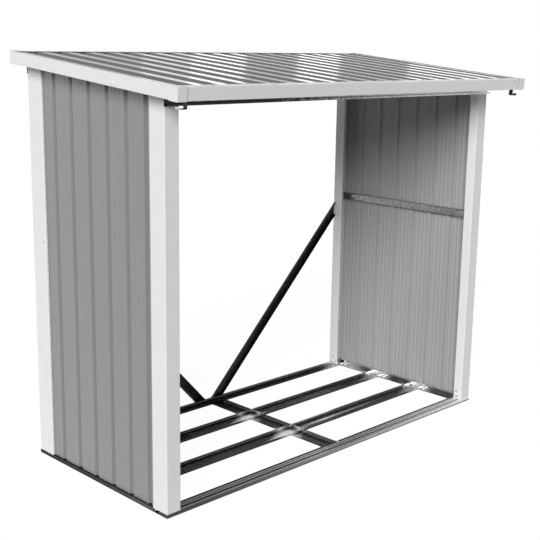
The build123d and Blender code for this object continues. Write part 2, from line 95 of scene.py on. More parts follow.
# Sheet coating: fineness of its clouds and roll streaks, and shares of its dark and pale tone
SHEET_CLOUDS = 1.6
ROLL_STREAKS = 140.0
WALL_STRETCH = (1.0, 1.0, 0.005)
ROOF_STRETCH = (1.0, 0.005, 1.0)
SHEET_TONES = (0.8, 1.2)
SHEET_DRIFT = 0.10
SHEET_PEEL = 0.06
BACKING_MATT = 0.2
COAT_ROUGHNESS = 0.25
# Gain on how steep a face of the roof's ribs is, for the painted shade on the rib sides
FLANK_SHADE_GAIN = 3.0

# Zinc: fineness of its spangle and scratches, and its share of metal, the rest being white bloom
FINE_SPANGLE = 130.0
LARGE_SPANGLE = 110.0
SCREW_SPANGLE = 300.0
SCRATCHES = 30.0
SCRATCH_STRETCH = (0.05, 1.0, 1.0)
ZINC_DRIFT = 0.10
METAL = 0.95

# Painted shadow line on the trim along its joint with each corner cap
JOINT_INSET = 0.0012
CAP_EDGE = -CAP_HIGH.x - JOINT_INSET
JOINT_WIDTH = 0.0022
JOINT_GAIN = 1.5
JOINT_SHADE = 0.12

# Ribs of the walls, and the painted shadows inside them at the front foot of each rib
WALL_FIRST_RIB = 0.096
WALL_PITCH = 0.0963
WALL_RIBS = 7
WALL_RIB_HALF = 0.011
RIB_SHADOW_WIDTH = 0.0025
RIB_SHADOW_GAIN = 2.0
WALL_RIB_SHADOWS = tuple(
    REAR_HIGH.y - WALL_FIRST_RIB - WALL_PITCH * number - WALL_RIB_HALF
    for number in range(WALL_RIBS)
)

# Across the sill, from its front edge: place, half width and gain of each line, a painted
# highlight on a rolled edge where the gain is positive, painted shade where it is negative, in the
# grooves and at the back lip
SILL_HIGHLIGHTS_AND_SHADES = (
    (0.0065, 0.005, 0.7), (0.0155, 0.003, -0.8), (0.0205, 0.003, -0.6), (0.026, 0.004, 0.7),
    (0.0325, 0.003, -0.8), (0.0385, 0.003, 0.7), (0.044, 0.003, -0.7), (0.0585, 0.003, -0.8),
)

# Tone of the sill at its left end, its painted light rising to the right, its white bloom and the
# painted shade at its foot
SILL_TONE = 0.055
SILL_LEAF = 0.08
SILL_LIGHT_RISE = 0.95
SILL_BLOOM = 0.8
SILL_FOOT = 0.006
SILL_FOOT_SHADE = 0.85

# A face looks along an axis, or straight up, where its normal is longer than this along it
LOOKING = 0.5
STRAIGHT_UP = 0.9

# Tone of the floor members, its painted light rising for each metre to the right and painted shade
# for each metre to the back, its least
FLOOR_TONE = 0.2
FLOOR_LIGHT_RISE = 0.15
FLOOR_SHADE_FALL = 0.16
FLOOR_LEAST = 0.02
FLOOR_LEAF = 0.2
FLOOR_CLOUDS = 7.0
FLOOR_CLOUD = 0.08

# Upright faces of the floor members that look to the front or the left: the lip of each in painted
# shade, the web in painted light
SHEET = 0.0012
FACE_WIDTH = 0.002
FACE_GAIN = 3.0
LIPS_ALONG_X = (FRONT_RAIL_LOW.y, BACK_RAIL_LOW.y, REAR_LOW.y)
LIPS_ALONG_Y = (CROSS_LOW.x, SIDE_LOW.x)
LIP_SHADE = 0.72
LIP_FOOT = 0.0045
LIP_FOOT_SHADE = 0.25
WEBS_ALONG_X = (FRONT_RAIL_HIGH.y - SHEET, BACK_RAIL_HIGH.y - SHEET)
WEBS_ALONG_Y = (CROSS_HIGH.x - SHEET,)
WEB_LIGHT_GAIN = 0.3

# Painted highlights on the fold lines, and painted light on the upper faces of the floor members
# and on the outer face of the left side rail
FOLDS = (0.008, 0.001)
FLOOR_EDGES = tuple(
    high.y - fold for high in (FRONT_RAIL_HIGH, BACK_RAIL_HIGH) for fold in FOLDS
)
CROSS_EDGES = tuple(CROSS_HIGH.x - fold for fold in FOLDS)
EDGE_WIDTH = 0.0022
FOLD_HIGHLIGHT_GAIN = 0.08
TOP_HEIGHT = 0.010
TOP_LIGHT_GAIN = 0.06
OUTER_FACE = SILL_LOW.x + 0.005
OUTER_LIGHT_GAIN = 0.05

# Painted reflections along the front floor rail, a streak and a patch: place, half width, middle,
# reach and gain
REFLECTION_STREAK = (FRONT_RAIL_LOW.y + 0.033, 0.009, 0.28, 0.24, 1.6)
REFLECTION_PATCH = (FRONT_RAIL_HIGH.y, 0.02, 0.155, 0.13, 3.0)

# Painted star-shaped glints where the members meet, inside the ledge: place and reach across and
# to the back
LEDGE = 0.018
CROSS_JOINT = CROSS_LOW.x + 0.002
SIDE_JOINT = SIDE_LOW.x + 0.004
GLINTS = (
    (CROSS_JOINT, FRONT_RAIL_LOW.y + 0.02, 0.13, 0.09),
    (CROSS_JOINT, BACK_RAIL_LOW.y + 0.02, 0.12, 0.08),
    (SIDE_JOINT, FRONT_RAIL_LOW.y + 0.02, 0.15, 0.11),
    (SIDE_JOINT, BACK_RAIL_LOW.y + 0.02, 0.15, 0.11),
    (SIDE_JOINT, REAR_LOW.y - 0.004, 0.15, 0.20),
)
GLINT_CURVE = 0.7
GLINT_RAYS = 20.0
RAY_STRETCH = (0.4, 1.0, 1.0)
GLINT_GAIN = 1.5
RAY_GAIN = 0.8

# Tones of the wall rails, headers, braces, clips and screws, and how far leaf and cloud swing them
RAIL_TONE = 0.24
RAIL_LEAF = 0.14
RAIL_CLOUDS = 9.0
RAIL_CLOUD = 0.16
# Headers: painted shade at the left end, turning to painted light to the right
HEADER_TONE = 0.02
HEADER_LEAF = 0.5
HEADER_SHADED_END = -0.35
HEADER_TURN = 0.75
HEADER_LIGHT_RISE = 0.55
# Braces: near black, as painted shade
BRACE_TONE = 0.02
BRACE_LEAF = 0.01
BRACE_CLOUDS = 5.0
BRACE_CLOUD = 0.04
# Clips: near black as painted shade, with a painted reflection on the outer side of the left one
CLIP_TONE = 0.03
CLIP_LEAF = 0.02
CLIP_OUTER_FACE = -0.829
CLIP_REFLECTION_GAIN = 0.7
# Screws: their upper faces a little lighter as painted light
SCREW_TONE = 0.65
SCREW_LEAF = 0.1
SCREW_TOP_LIGHT = 0.04

# Shapes of the washer's dish, the cup in the head and their rounded edges, as shares of a size
WASHER_SIDES = 20
WASHER_DISH = 0.3
WASHER_ROUND = 0.3
HEAD_SIDES = 6
HEAD_CUP = 0.45
HEAD_CUP_DEPTH = 0.12
HEAD_ROUND = 0.1

# Post screws: height, and distance in from the sill's front, the post's back or, on the flank,
# the post's front
FRONT_POST_SCREWS = ((0.046, 0.026), (0.023, 0.0245))
BACK_POST_SCREWS = ((0.043, 0.024), (0.020, 0.013), (0.020, 0.036))
FLANK_SCREW = (0.778, 0.008)

# Wall screws: height, depth of the skin behind the base's side, and ribs that have one
WALL_SCREW_HEIGHT = 0.0176
WALL_SKIN_DEPTH = 0.0179
SCREWED_RIBS = (1, 2, 5)

# Screws of the mid rails, the cross member and the front trim
MID_RAIL_SCREWS = (0.062, 0.643)
MID_RAIL_SCREW_HEIGHT = 0.789
CROSS_SCREW_INSET = 0.0045
SILL_SCREW = 0.037
FLOOR_RAIL_SCREW = 0.012
ROOF_SLOPE = math.radians(5.55)
TRIM_HEIGHT = 0.040
TRIM_SCREW_ALONG = 0.018


class CameraSettings(bpy.types.PropertyGroup):
    """Place and aim of the camera, measured from the front left foot of the floor frame"""

    offset: FloatVectorProperty(
        name="Offset",
        description="Camera place as shares of the floor frame's width",
        default=(-1.12841, -1.41445, 0.89467),
    )
    turn: FloatProperty(
        name="Turn", description="Heading, clockwise from straight back",
        default=0.77879, subtype="ANGLE",
    )
    dip: FloatProperty(
        name="Dip", description="Angle below the horizon", default=0.21914, subtype="ANGLE"
    )
    roll: FloatProperty(
        name="Roll", description="Tilt about the line of sight", default=0.01529, subtype="ANGLE"
    )
    lens: FloatProperty(
        name="Lens", description="Focal length on a 36 mm frame", default=67.62, min=20.0
    )


class StageSettings(bpy.types.PropertyGroup):
    """Floor and lights of the studio"""

    floor_size: FloatProperty(
        name="Floor size", description="Side of the square floor", default=60.0, unit="LENGTH"
    )
    floor_colour: FloatVectorProperty(
        name="Floor colour", description="Pale studio floor", default=(0.46, 0.46, 0.46),
        subtype="COLOR",
    )
    backdrop: FloatProperty(
        name="Backdrop", description="Share of plain white in the floor as it is seen",
        default=0.86, min=0.0, max=1.0, subtype="FACTOR",
    )
    key_power: FloatProperty(
        name="Key power", description="Strength of the broad light from the left", default=3.5
    )
    key_spread: FloatProperty(
        name="Key spread", description="Width of the broad lights as seen from the store",
        default=0.5, subtype="ANGLE",
    )
    key_side: FloatProperty(
        name="Key side", description="Heading of the broad light, left of straight ahead",
        default=0.985, subtype="ANGLE",
    )
    key_height: FloatProperty(
        name="Key height", description="Height of the broad light above the horizon",
        default=0.42, subtype="ANGLE",
    )
    fill_power: FloatProperty(
        name="Fill power", description="Strength of the low light from the right and behind",
        default=2.2, min=0.0,
    )
    fill_side: FloatProperty(
        name="Fill side", description="Heading of the low light, left of straight ahead",
        default=math.radians(-135.0), subtype="ANGLE",
    )
    fill_height: FloatProperty(
        name="Fill height", description="Height of the low light above the horizon",
        default=math.radians(5.0), subtype="ANGLE",
    )
    strip_power: FloatProperty(
        name="Strip power", description="Brightness of the tall soft boxes behind the store",
        default=1.6, min=0.0,
    )
    sky: FloatProperty(
        name="Sky", description="Level of the light from all round", default=0.08, min=0.0
    )


class CoatingSettings(bpy.types.PropertyGroup):
    """Colours of the coated and galvanised sheet"""

    white: FloatVectorProperty(
        name="White coating", description="Posts, trim and corner caps",
        default=(0.74, 0.74, 0.735), subtype="COLOR",
    )
    grey: FloatVectorProperty(
        name="Grey coating", description="Outer side of the wall sheets",
        default=(0.21, 0.212, 0.212), subtype="COLOR",
    )
    roof: FloatVectorProperty(
        name="Roof coating", description="Upper side of the roof sheets",
        default=(0.23, 0.232, 0.232), subtype="COLOR",
    )
    backing: FloatVectorProperty(
        name="Backing coat", description="Inner side of the wall and roof sheets",
        default=(0.33, 0.33, 0.326), subtype="COLOR",
    )
    zinc: FloatVectorProperty(
        name="Zinc", description="Bright galvanised strip",
        default=(0.9, 0.905, 0.91), subtype="COLOR",
    )
    # Darkest end of the zinc tones, which the painted shade on the floor, headers, braces and
    # clips reaches
    zinc_shade_end: FloatVectorProperty(
        name="Zinc in painted shade", description="Darkest parts of the galvanised strip",
        default=(0.012, 0.012, 0.0125), subtype="COLOR",
    )


class ScrewSettings(bpy.types.PropertyGroup):
    """Sizes of the hexagon screws and their washers"""

    head_radius: FloatProperty(
        name="Head radius", description="From the middle of the head to its corners",
        default=0.0038, unit="LENGTH",
    )
    head_height: FloatProperty(
        name="Head height", description="Height of the head above its washer",
        default=0.0032, unit="LENGTH",
    )
    washer_radius: FloatProperty(
        name="Washer radius", description="From the middle of the washer to its rim",
        default=0.0052, unit="LENGTH",
    )
    washer_height: FloatProperty(
        name="Washer height", description="Thickness of the washer", default=0.001, unit="LENGTH"
    )
    trim_count: IntProperty(
        name="Trim screws", description="Number of screws along the front trim", default=7, min=1
    )


class Value:
    """An output socket whose sums, products and powers add Math nodes."""

    def __init__(self, nodes, socket):
        self.nodes = nodes
        self.socket = socket

    def maths(self, operation, *values):
        return self.nodes.maths(operation, *values)

    def __add__(self, other):
        return self.maths("ADD", self, other)

    __radd__ = __add__

    def __sub__(self, other):
        return self.maths("SUBTRACT", self, other)

    def __rsub__(self, other):
        return self.maths("SUBTRACT", other, self)

    def __mul__(self, other):
        return self.maths("MULTIPLY", self, other)

    __rmul__ = __mul__

    def __truediv__(self, other):
        return self.maths("DIVIDE", self, other)

    def __pow__(self, other):
        return self.maths("POWER", self, other)

    def __lt__(self, other):
        return self.maths("LESS_THAN", self, other)

    def __gt__(self, other):
        return self.maths("GREATER_THAN", self, other)

    def __abs__(self):
        return self.maths("ABSOLUTE", self)

    def clamp(self):
        return self.maths("MINIMUM", self.maths("MAXIMUM", self, 0.0), 1.0)


class Nodes:
    """Node tree of a material or the world."""

    def __init__(self, tree):
        self.tree = tree

    def node(self, kind, settings=None, values=(), output=0):
        """Add a node, set it up, feed its sockets and give one of its outputs."""
        new = self.tree.nodes.new(kind)
        for key, setting in (settings or {}).items():
            setattr(new, key, setting)
        fed = values.items() if isinstance(values, dict) else enumerate(values)
        for key, value in fed:
            self.feed(new.inputs[key], value)
        return Value(self, new.outputs[output])

    def feed(self, socket, value):
        """Link a value to a socket, or set the socket to a plain number or colour."""
        if isinstance(value, Value):
            self.tree.links.new(value.socket, socket)
        else:
            socket.default_value = value

    def maths(self, operation, *values):
        return self.node("ShaderNodeMath", {"operation": operation}, values)

    def seen(self):
        """1 for a ray that looks at the surface, 0 for one that only lights others."""
        camera, glossy, through = (
            self.node("ShaderNodeLightPath", output=look) for look in LOOKS
        )
        return self.maths("MAXIMUM", self.maths("MAXIMUM", camera, glossy), through)


class Finish(Nodes):
    """Node tree of one material, built up from its Principled shader."""

    def __init__(self, name):
        self.material = bpy.data.materials.new(name)
        self.material.use_nodes = True
        super().__init__(self.material.node_tree)
        self.shader = self.tree.nodes["Principled BSDF"]
        self.place = self.node("ShaderNodeTexCoord", output="Object")
        self.facing = self.node("ShaderNodeTexCoord", output="Normal")

    def set(self, **sockets):
        """Feed sockets of the Principled shader, with _ for the blanks in their names."""
        for name, value in sockets.items():
            self.feed(self.shader.inputs[name.replace("_", " ")], value)
        return self.material

    def noise(self, scale, detail=3.0, roughness=0.55, stretch=(1.0, 1.0, 1.0)):
        """Noise on object coordinates that are scaled along each axis."""
        place = self.node("ShaderNodeMapping", values={"Vector": self.place, "Scale": stretch})
        return self.node(
            "ShaderNodeTexNoise",
            values={"Vector": place, "Scale": scale, "Detail": detail, "Roughness": roughness},
        )

    def leaves(self, scale):
        """Flat cells, each with its own colour."""
        return self.node(
            "ShaderNodeTexVoronoi", values={"Vector": self.place, "Scale": scale}, output="Color"
        )

    def line(self, along, place, width):
        """1 at a place on one coordinate, falling to 0 at a distance either side."""
        return (1.0 - abs(along - place) / width).clamp()

    def lines(self, along, places, width):
        """Lines of one width at several places."""
        return sum(self.line(along, place, width) for place in places)

    def glint(self, x, y, place_x, place_y, reach_x, reach_y):
        """Painted star-shaped glint about a place."""
        off_x = abs(x - place_x) / reach_x
        off_y = abs(y - place_y) / reach_y
        return (1.0 - off_x**GLINT_CURVE - off_y**GLINT_CURVE).clamp()

    def vector(self, operation, *values):
        """Vector made from others."""
        return self.node("ShaderNodeVectorMath", {"operation": operation}, values)

    def axis(self, vector, name):
        """One coordinate of a vector as a value."""
        return self.node("ShaderNodeSeparateXYZ", values=(vector,), output=name)

    def grey(self, colour):
        """One channel of a colour output as a value."""
        return self.node("ShaderNodeSeparateColor", values=(colour,), output="Red")

    def mix(self, factor, first, second):
        """Mix of two colours."""
        return self.node(
            "ShaderNodeMix", {"data_type": "RGBA"},
            {"Factor": factor, 6: first, 7: second}, output=2,
        )

    def bump(self, height, strength, distance, normal=None):
        """Normal of a relief, on top of another normal where one is given."""
        values = {"Strength": strength, "Distance": distance, "Height": height}
        if normal:
            values["Normal"] = normal
        return self.node("ShaderNodeBump", values=values)


def shade(colour, level):
    """A colour scaled by a level, with its alpha."""
    return (*(channel * level for channel in colour), 1.0)


def swing(pattern, reach):
    """Rise and fall of a pattern about 0."""
    return (pattern - 0.5) * reach


def coating(name, colour, gloss=0.4, grain=0.1, joints=(), dents=0.0):
    """Satin coil coating: faint clouds, orange peel, rub marks, painted shadow lines where it
    meets other parts, and small dents.
    """
    finish = Finish(name)
    clouds = finish.noise(WHITE_CLOUDS, detail=4.0)
    peel = finish.noise(ORANGE_PEEL, detail=2.0)
    rubs = finish.noise(RUB_MARKS, detail=6.0, roughness=0.7, stretch=RUB_STRETCH)
    tone = finish.mix(clouds, shade(colour, 1.0 - WHITE_DRIFT), shade(colour, 1.0 + WHITE_DRIFT))
    # Painted shadow lines at given places across the trim, beside the corner caps
    if joints:
        x = abs(finish.axis(finish.place, "X"))
        dark = finish.lines(x, joints, JOINT_WIDTH)
        tone = finish.mix((dark * JOINT_GAIN).clamp(), tone, shade(colour, JOINT_SHADE))
    normal = finish.bump(peel, grain, PEEL_DEPTH)
    if dents:
        pits = finish.noise(DENTS, detail=1.0, stretch=DENT_STRETCH) - DENT_LEVEL
        normal = finish.bump((pits * DENT_SLOPE).clamp(), dents, DENT_DEPTH, normal)
    return finish.set(
        Base_Color=tone,
        Roughness=gloss + swing(rubs, RUB_DRIFT),
        Normal=normal,
        IOR=1.5,
    )


def sheet_coating(name, outer, inner, outwards, stretch, gloss, coat, ior, flank_shade=1.0, rib_shadows=()):
    """Ribbed sheet: gloss coat outside, paler backing inside, roll streaks, rib sides darkened as
    painted shade, and painted shadows inside at the foot of each rib where given.
    """
    finish = Finish(name)
    clouds = finish.noise(SHEET_CLOUDS, detail=4.0)
    streaks = finish.noise(ROLL_STREAKS, stretch=stretch)
    peel = finish.noise(ORANGE_PEEL, detail=2.0)
    level = swing(clouds, SHEET_DRIFT) + swing(streaks, SHEET_DRIFT) + 0.5
    outside = outwards(finish) > 0.0
    inside = 1.0 - outside
    # Painted shadows inside the sheet at the front foot of each rib
    if rib_shadows:
        y = finish.axis(finish.place, "Y")
        level = level - finish.lines(y, rib_shadows, RIB_SHADOW_WIDTH) * inside * RIB_SHADOW_GAIN
    dark, pale = (
        finish.mix(outside, shade(inner, share), shade(outer, share)) for share in SHEET_TONES
    )
    tone = finish.mix(level, dark, pale)
    # Steep rib sides on the outside darkened towards black as painted shade
    if flank_shade < 1.0:
        shaded_flanks = (abs(finish.axis(finish.facing, "X")) * FLANK_SHADE_GAIN).clamp()
        tone = finish.mix(shaded_flanks * outside * (1.0 - flank_shade), tone, shade(outer, 0.0))
    return finish.set(
        Base_Color=tone,
        Roughness=gloss + swing(streaks, SHEET_DRIFT) + inside * BACKING_MATT,
        Normal=finish.bump(peel, SHEET_PEEL, PEEL_DEPTH),
        IOR=ior,
        Coat_Weight=outside * coat if coat else 0.0,
        Coat_Roughness=COAT_ROUGHNESS,
    )


def across_wall(finish):
    """Positive on the outer side of both walls."""
    return finish.axis(finish.place, "X") * finish.axis(finish.facing, "X")


def above_roof(finish):
    """Positive on the upper side of the roof."""
    return finish.axis(finish.facing, "Z")


def zinc_coating(
    name, settings, brightness, roughness, tilt, spangle=LARGE_SPANGLE, rim=1.0, metal=None
):
    """Galvanised strip: leaf-like spangle, each leaf with its own tone, gloss and slant."""
    finish = Finish(name)
    leaves = finish.leaves(spangle)
    leaf = finish.grey(leaves)
    scratches = finish.noise(SCRATCHES, detail=4.0, stretch=SCRATCH_STRETCH)
    level = brightness(finish, leaf)
    # The brightness function of each member paints light and shade into the zinc's tone
    tone = finish.mix(level.clamp(), shade(settings.zinc_shade_end, 1.0), shade(settings.zinc, 1.0))
    slant = finish.vector("MULTIPLY_ADD", leaves, (tilt,) * 3, (-tilt / 2,) * 3)
    normal = finish.vector("ADD", finish.node("ShaderNodeNewGeometry", output="Normal"), slant)
    return finish.set(
        Base_Color=tone,
        Metallic=metal(finish) if metal else METAL,
        Specular_Tint=(rim, rim, rim, 1.0),
        Roughness=roughness + swing(leaf, ZINC_DRIFT) + swing(scratches, ZINC_DRIFT),
        Normal=finish.vector("NORMALIZE", normal),
    )


def sill_run(finish):
    """0 at the left end of the sill, 1 at the right."""
    return ((finish.axis(finish.place, "X") - SILL_LOW.x) / BASE_WIDTH).clamp()


def sill_brightness(finish, leaf):
    """Sill, with painted light rising to the right, painted shade in its grooves and at its foot,
    and painted highlights on the rolled edges along it.
    """
    y, z = finish.axis(finish.place, "Y"), finish.axis(finish.place, "Z")
    run = sill_run(finish)
    # Painted highlights on the rolled edges and painted shade in the grooves
    lines = sum(
        finish.line(y, SILL_LOW.y + place, width) * gain for place, width, gain in SILL_HIGHLIGHTS_AND_SHADES
    )
    # Painted shade at the foot of the front face, deeper to the right
    foot = (finish.axis(finish.facing, "Y") < -LOOKING) * (z < SILL_FOOT)
    # Painted light rising to the right
    level = (SILL_TONE + run * run * SILL_LIGHT_RISE) * (1.0 + lines)
    level = level * (1.0 + swing(leaf, SILL_LEAF))
    return level * (1.0 - foot * run * SILL_FOOT_SHADE)


def sill_metal(finish):
    """Sill, matt with white bloom to the right."""
    run = sill_run(finish)
    return METAL - run * run * SILL_BLOOM


def upright_faces(finish, along_x, along_y):
    """1 on the faces at these places that look to the front or the left."""
    (x, y), (out_x, out_y) = (
        [finish.axis(vector, name) for name in "XY"] for vector in (finish.place, finish.facing)
    )
    faces = finish.lines(y, along_x, FACE_WIDTH) * (out_y < -LOOKING)
    faces = faces + finish.lines(x, along_y, FACE_WIDTH) * (out_x < -LOOKING)
    return (faces * FACE_GAIN).clamp()


def floor_brightness(finish, leaf):
    """Floor members: painted shade to the left, to the back and on the lip of each, painted light
    on the web, upper faces and outer face, painted highlights on the folds, painted reflections
    along the front rail and painted glints where they are joined.
    """
    x, y, z = (finish.axis(finish.place, name) for name in "XYZ")
    out_x, out_z = (finish.axis(finish.facing, name) for name in "XZ")
    clouds = finish.noise(FLOOR_CLOUDS)
    # Painted light to the right and painted shade to the back
    level = FLOOR_TONE + x * FLOOR_LIGHT_RISE - (y - SILL_LOW.y) * FLOOR_SHADE_FALL
    level = finish.maths("MAXIMUM", level + swing(clouds, FLOOR_CLOUD), FLOOR_LEAST)
    level = level * (1.0 + swing(leaf, FLOOR_LEAF))

    # Painted shade on the lip of each member, deeper at its foot, and painted light on its web
    shaded_lips = upright_faces(finish, LIPS_ALONG_X, LIPS_ALONG_Y)
    lit_webs = upright_faces(finish, WEBS_ALONG_X, WEBS_ALONG_Y)
    shaded_feet = z < LIP_FOOT
    level = level * (1.0 - shaded_lips * (LIP_SHADE + shaded_feet * LIP_FOOT_SHADE)) + lit_webs * WEB_LIGHT_GAIN

    # Painted light on the outer face of the left side rail and on the upper faces, painted
    # highlights on the fold lines
    outer = (x < OUTER_FACE) * (out_x < -LOOKING)
    edges = finish.lines(y, FLOOR_EDGES, EDGE_WIDTH) + finish.lines(x, CROSS_EDGES, EDGE_WIDTH)
    lit_tops = (z > TOP_HEIGHT) * (out_z > LOOKING)
    # Painted reflections along the front floor rail
    reflection_streak, reflection_patch = (
        finish.line(y, place, width) * finish.line(x, middle, reach) * gain
        for place, width, middle, reach, gain in (REFLECTION_STREAK, REFLECTION_PATCH)
    )
    # Painted light, highlights and reflections added to the tone
    painted_light = outer * OUTER_LIGHT_GAIN + edges * FOLD_HIGHLIGHT_GAIN + lit_tops * TOP_LIGHT_GAIN + reflection_streak + lit_tops * reflection_patch

    # Painted glints where the members meet
    rays = finish.noise(GLINT_RAYS, detail=2.0, stretch=RAY_STRETCH)
    glints = sum(finish.glint(x, y, *glint) for glint in GLINTS) * (GLINT_GAIN + rays * RAY_GAIN)
    inside = abs(x) < BASE_WIDTH / 2 - LEDGE
    return level + painted_light + glints * (1.0 - shaded_lips * shaded_feet) * inside


def rail_brightness(finish, leaf):
    """Wall rails with large, mottled spangle."""
    clouds = finish.noise(RAIL_CLOUDS, detail=5.0)
    return RAIL_TONE + swing(leaf, RAIL_LEAF) + swing(clouds, RAIL_CLOUD)


def header_brightness(finish, leaf):
    """Headers with painted shade at the left turning to painted light at the right, leaf by leaf.
    """
    # Painted shade at the left end turning to painted light to the right
    run = (finish.axis(finish.place, "X") - HEADER_SHADED_END) / HEADER_TURN
    return (run + swing(leaf, HEADER_LEAF)).clamp() * HEADER_LIGHT_RISE + HEADER_TONE


def brace_brightness(finish, leaf):
    """Braces near black, as painted shade."""
    clouds = finish.noise(BRACE_CLOUDS)
    return BRACE_TONE + swing(leaf, BRACE_LEAF) + swing(clouds, BRACE_CLOUD)


def clip_brightness(finish, leaf):
    """Clips near black as painted shade, with a painted reflection on the outer side of the left
    one.
    """
    # Painted reflection on the outer side of the left clip
    outer = finish.axis(finish.place, "X") < CLIP_OUTER_FACE
    return CLIP_TONE + swing(leaf, CLIP_LEAF) + outer * CLIP_REFLECTION_GAIN


def screw_brightness(finish, leaf):
    """Plated screws, with painted light making them a little brighter on top."""
    # Painted light on the faces that look up
    up = finish.axis(finish.facing, "Z")
    return SCREW_TONE + swing(leaf, SCREW_LEAF) + up * SCREW_TOP_LIGHT


def give(material, *names):
    """Put one material on each of these solids."""
    for name in names:
        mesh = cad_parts[name].data
        mesh.materials.clear()
        mesh.materials.append(material)


def named(*starts):
    """Solids whose names start with any of these words."""
    return sorted(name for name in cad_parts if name.startswith(starts))


def camera_place(context):
    """Place of the camera in metres."""
    return BASE_CORNER + Vector(context.scene.logstore_camera.offset) * BASE_WIDTH


class LOGSTORE_OT_camera(bpy.types.Operator):
    """Set the camera at the front left, just above the height of the roof"""

    bl_idname = "logstore.camera"
    bl_label = "Camera"

    def execute(self, context):
        settings = context.scene.logstore_camera
        camera_data = bpy.data.cameras.new("Camera")
        camera_data.lens = settings.lens
        camera_data.sensor_width = SENSOR_WIDTH
        camera_data.sensor_fit = "HORIZONTAL"
        camera_data.clip_end = CAMERA_REACH
        camera = bpy.data.objects.new("Camera", camera_data)
        context.scene.collection.objects.link(camera)
        turn, dip, roll = settings.turn, settings.dip, settings.roll
        ahead = Vector((
            math.sin(turn) * math.cos(dip), math.cos(turn) * math.cos(dip), -math.sin(dip),
        ))
        level = Vector((math.cos(turn), -math.sin(turn), 0.0))
        above = level.cross(ahead)
        right = level * math.cos(roll) + above * math.sin(roll)
        up = above * math.cos(roll) - level * math.sin(roll)
        aim = Matrix((right, up, -ahead)).transposed().to_4x4()
        camera.matrix_world = Matrix.Translation(camera_place(context)) @ aim
        context.scene.camera = camera
        return {"FINISHED"}


class LOGSTORE_OT_stage(bpy.types.Operator):
    """Lay the pale floor and set the soft studio lamps"""

    bl_idname = "logstore.stage"
    bl_label = "Stage"

    def execute(self, context):
        settings = context.scene.logstore_stage
        bpy.ops.object.select_all(action="DESELECT")
        bpy.ops.mesh.primitive_plane_add(size=settings.floor_size, location=(0.0, 0.0, 0.0))
        floor = context.active_object
        floor.name = "studio_floor"
        floor.data.materials.append(self.floor_material(settings))
        self.sun(
            context, "key_light", settings.key_power, settings.key_spread, settings.key_side,
            settings.key_height,
        )
        fill = self.sun(
            context, "back_fill", settings.fill_power, settings.key_spread, settings.fill_side,
            settings.fill_height,
        )
        fill.visible_glossy = False
        for number, (start, end, share) in enumerate(STRIPS, start=1):
            level = settings.strip_power * share
            self.strip(context, f"back_strip_{number}", (start, end), level)
        self.world(context, settings)
        return {"FINISHED"}

    def lamp(self, context, name, kind, power):
        """New lamp at the origin."""
        data = bpy.data.lights.new(name, kind)
        data.energy = power
        lamp = bpy.data.objects.new(name, data)
        context.scene.collection.objects.link(lamp)
        return lamp

    def sun(self, context, name, power, spread, side, height):
        """Light whose rays are level with each other."""
        lamp = self.lamp(context, name, "SUN", power)
        lamp.data.angle = spread
        away = Vector((
            math.sin(side) * math.cos(height), math.cos(side) * math.cos(height),
            -math.sin(height),
        ))
        lamp.rotation_euler = away.to_track_quat("-Z", "Y").to_euler()
        return lamp

    def strip(self, context, name, headings, level):
        """Tall soft box that only glossy sheets show, upright between two headings."""
        start, end = (math.radians(heading) for heading in headings)
        middle = (start + end) / 2
        width = 2 * STRIP_DISTANCE * math.tan((end - start) / 2)
        lamp = self.lamp(context, name, "AREA", level * math.pi * width * STRIP_HEIGHT)
        lamp.data.shape = "RECTANGLE"
        lamp.data.size = width
        lamp.data.size_y = STRIP_HEIGHT
        ahead = Vector((math.sin(middle), math.cos(middle), 0.0))
        lamp.location = camera_place(context) + ahead * STRIP_DISTANCE
        lamp.location.z = STRIP_FOOT + STRIP_HEIGHT / 2
        lamp.rotation_euler = (-ahead).to_track_quat("-Z", "Y").to_euler()
        lamp.visible_camera = False
        lamp.visible_diffuse = False

    def floor_material(self, settings):
        """Pale floor that takes a shadow, mostly plain white as it is seen."""
        finish = Finish("Studio floor")
        grain = finish.noise(FLOOR_GRAIN)
        colour = settings.floor_colour
        tones = (shade(colour, 1.0 - FLOOR_DRIFT), shade(colour, 1.0 + FLOOR_DRIFT))
        finish.set(Base_Color=finish.mix(grain, *tones), Roughness=FLOOR_ROUGHNESS)
        glow = finish.node(
            "ShaderNodeEmission", values={"Color": (1.0, 1.0, 1.0, 1.0), "Strength": GLOW}
        )
        body = Value(finish, finish.shader.outputs[0])
        share = finish.seen() * settings.backdrop
        both = finish.node("ShaderNodeMixShader", values=(share, body, glow))
        finish.feed(finish.tree.nodes["Material Output"].inputs["Surface"], both)
        return finish.material

    def world(self, context, settings):
        """White all round where it is seen, and a faint light elsewhere."""
        world = bpy.data.worlds.new("Studio")
        world.use_nodes = True
        context.scene.world = world
        sky = Nodes(world.node_tree)
        strength = sky.node(
            "ShaderNodeMapRange",
            values={"Value": sky.seen(), "To Min": settings.sky, "To Max": 1.0},
        )
        background = sky.tree.nodes["Background"]
        sky.feed(background.inputs["Color"], (1.0, 1.0, 1.0, 1.0))
        sky.feed(background.inputs["Strength"], strength)


